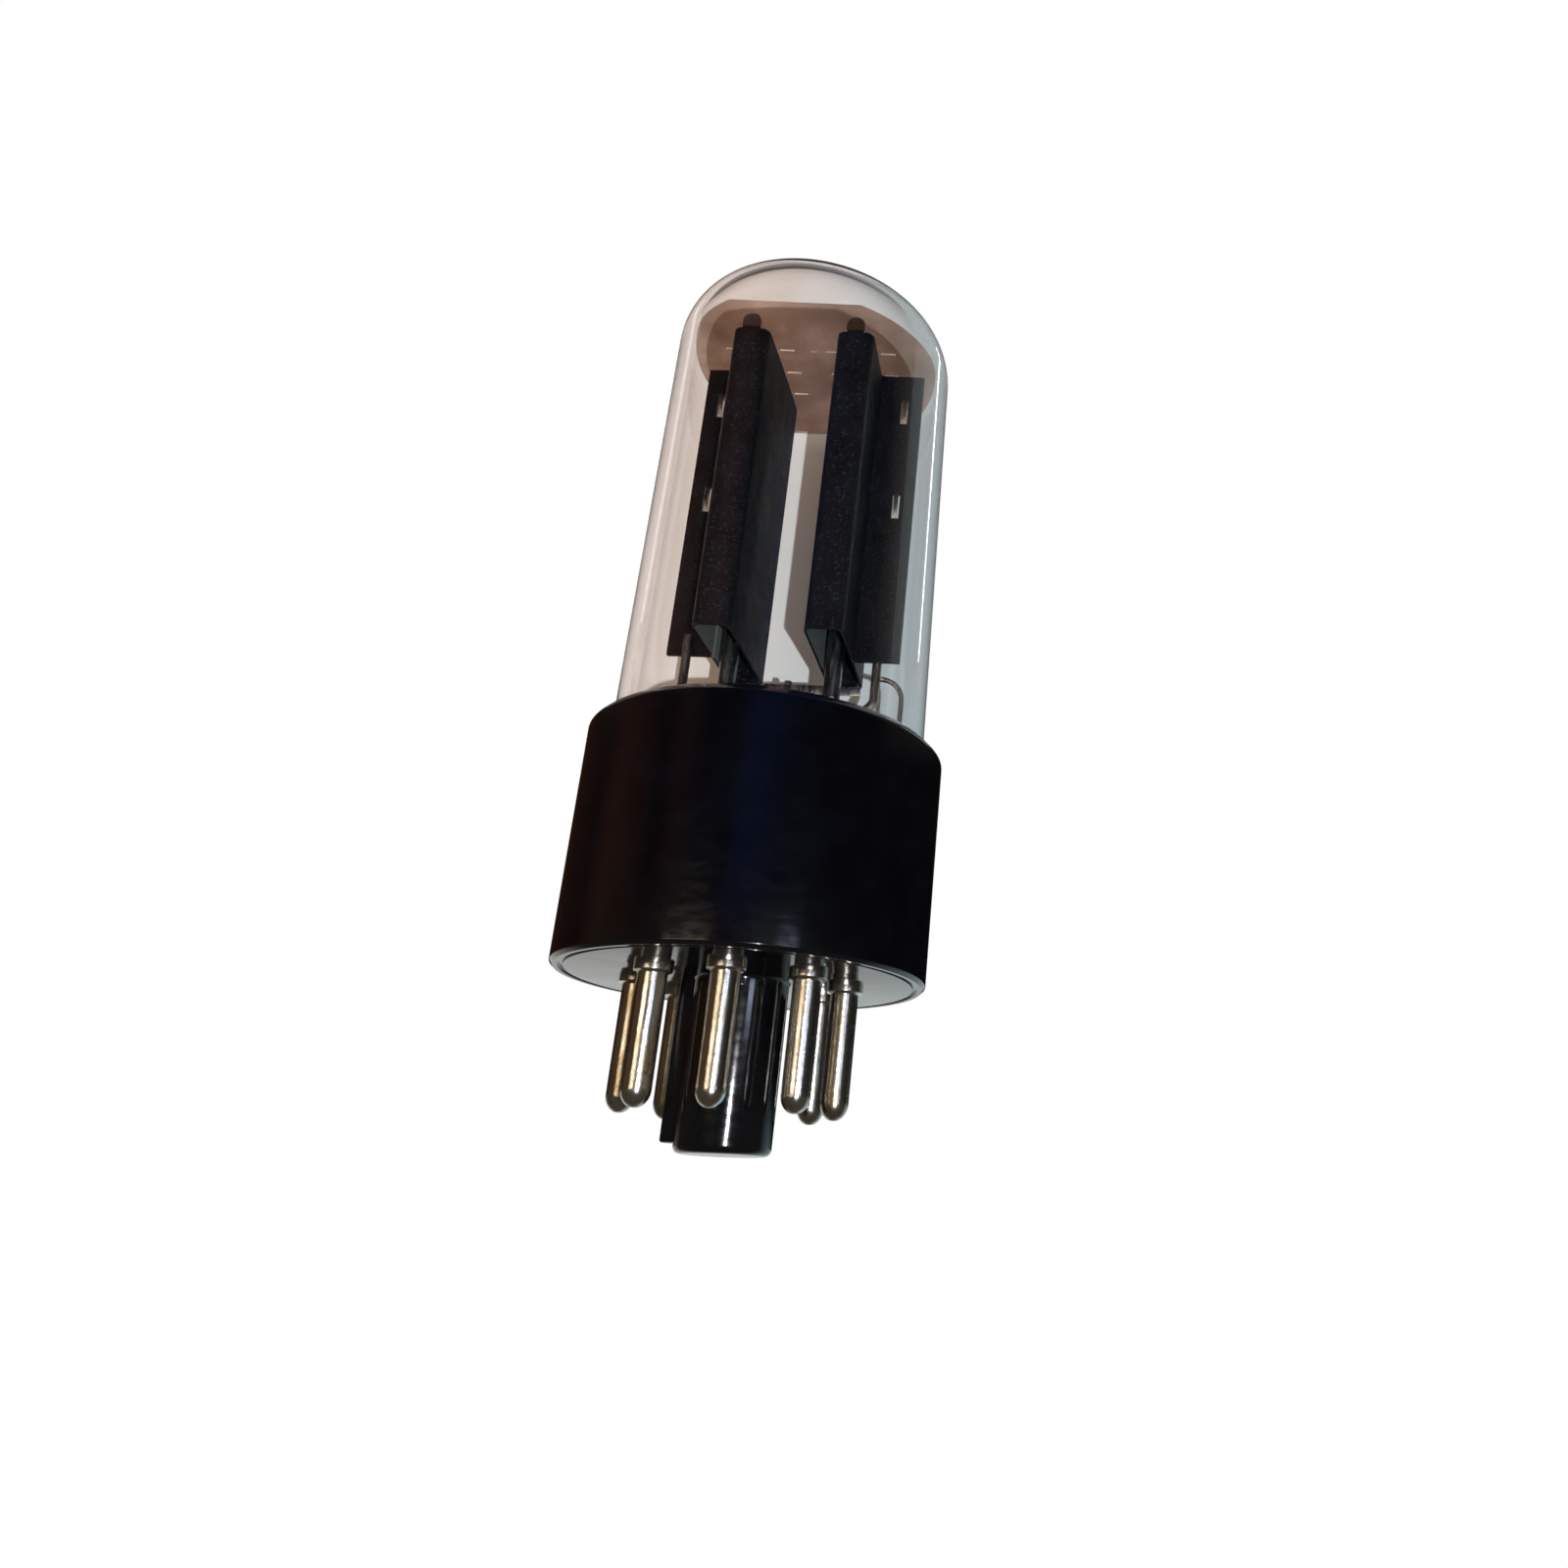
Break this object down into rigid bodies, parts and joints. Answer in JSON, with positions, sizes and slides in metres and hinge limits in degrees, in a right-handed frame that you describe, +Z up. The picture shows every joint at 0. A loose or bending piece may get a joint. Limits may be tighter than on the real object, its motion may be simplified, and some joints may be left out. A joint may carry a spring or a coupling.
{
  "type": "rectifier tube",
  "caption": "Full-wave vacuum rectifier tube: a clear round-topped glass bulb with two flat black anodes, on a black moulded octal plug-in base.",
  "frame": {"origin": "centre of the spigot's end, on the tube's axis, where the upright tube stands", "axes": "+Z up the tube's axis from the pins to the top of the bulb, X through the two anodes, -Y the front of the anode cage"},
  "size_m": [0.0312, 0.0312, 0.0858],
  "materials": {
    "phenolic": "black phenolic moulding, glossy",
    "nickelled_brass": "nickel-plated brass, lightly worn",
    "solder": "dull tin solder",
    "cement": "brown basing cement",
    "bulb_glass": "clear blown glass",
    "stem_glass": "clear lead glass",
    "carbonised_steel": "matt black carbonised sheet",
    "nickel": "drawn nickel wire and ribbon",
    "heater_coating": "white alumina coating",
    "mica": "translucent brownish mica"
  },
  "bodies": {
    "root": {"base_shell": "phenolic", "pin_1": "nickelled_brass", "pin_2": "nickelled_brass", "pin_3": "nickelled_brass", "pin_4": "nickelled_brass", "pin_5": "nickelled_brass", "pin_6": "nickelled_brass", "pin_7": "nickelled_brass", "pin_8": "nickelled_brass", "pin_solder": "solder", "base_cement": "cement", "glass_bulb": "bulb_glass", "glass_stem": "stem_glass", "exhaust_tube": "stem_glass", "anode_left": "carbonised_steel", "anode_right": "carbonised_steel", "anode_rod_left": "nickel", "anode_rod_right": "nickel", "cathode_left": "nickel", "cathode_right": "nickel", "cathode_ribbon": "nickel", "heater_left": "heater_coating", "heater_right": "heater_coating", "heater_bridge": "nickel", "heater_link_left": "nickel", "heater_link_right": "nickel", "lead_anode_left": "nickel", "lead_anode_right": "nickel", "lead_heater_left": "nickel", "lead_heater_right": "nickel", "lead_cathode": "nickel", "mica_disc": "mica", "getter_wire": "nickel", "getter_cup": "nickel"}
  },
  "joints": []
}
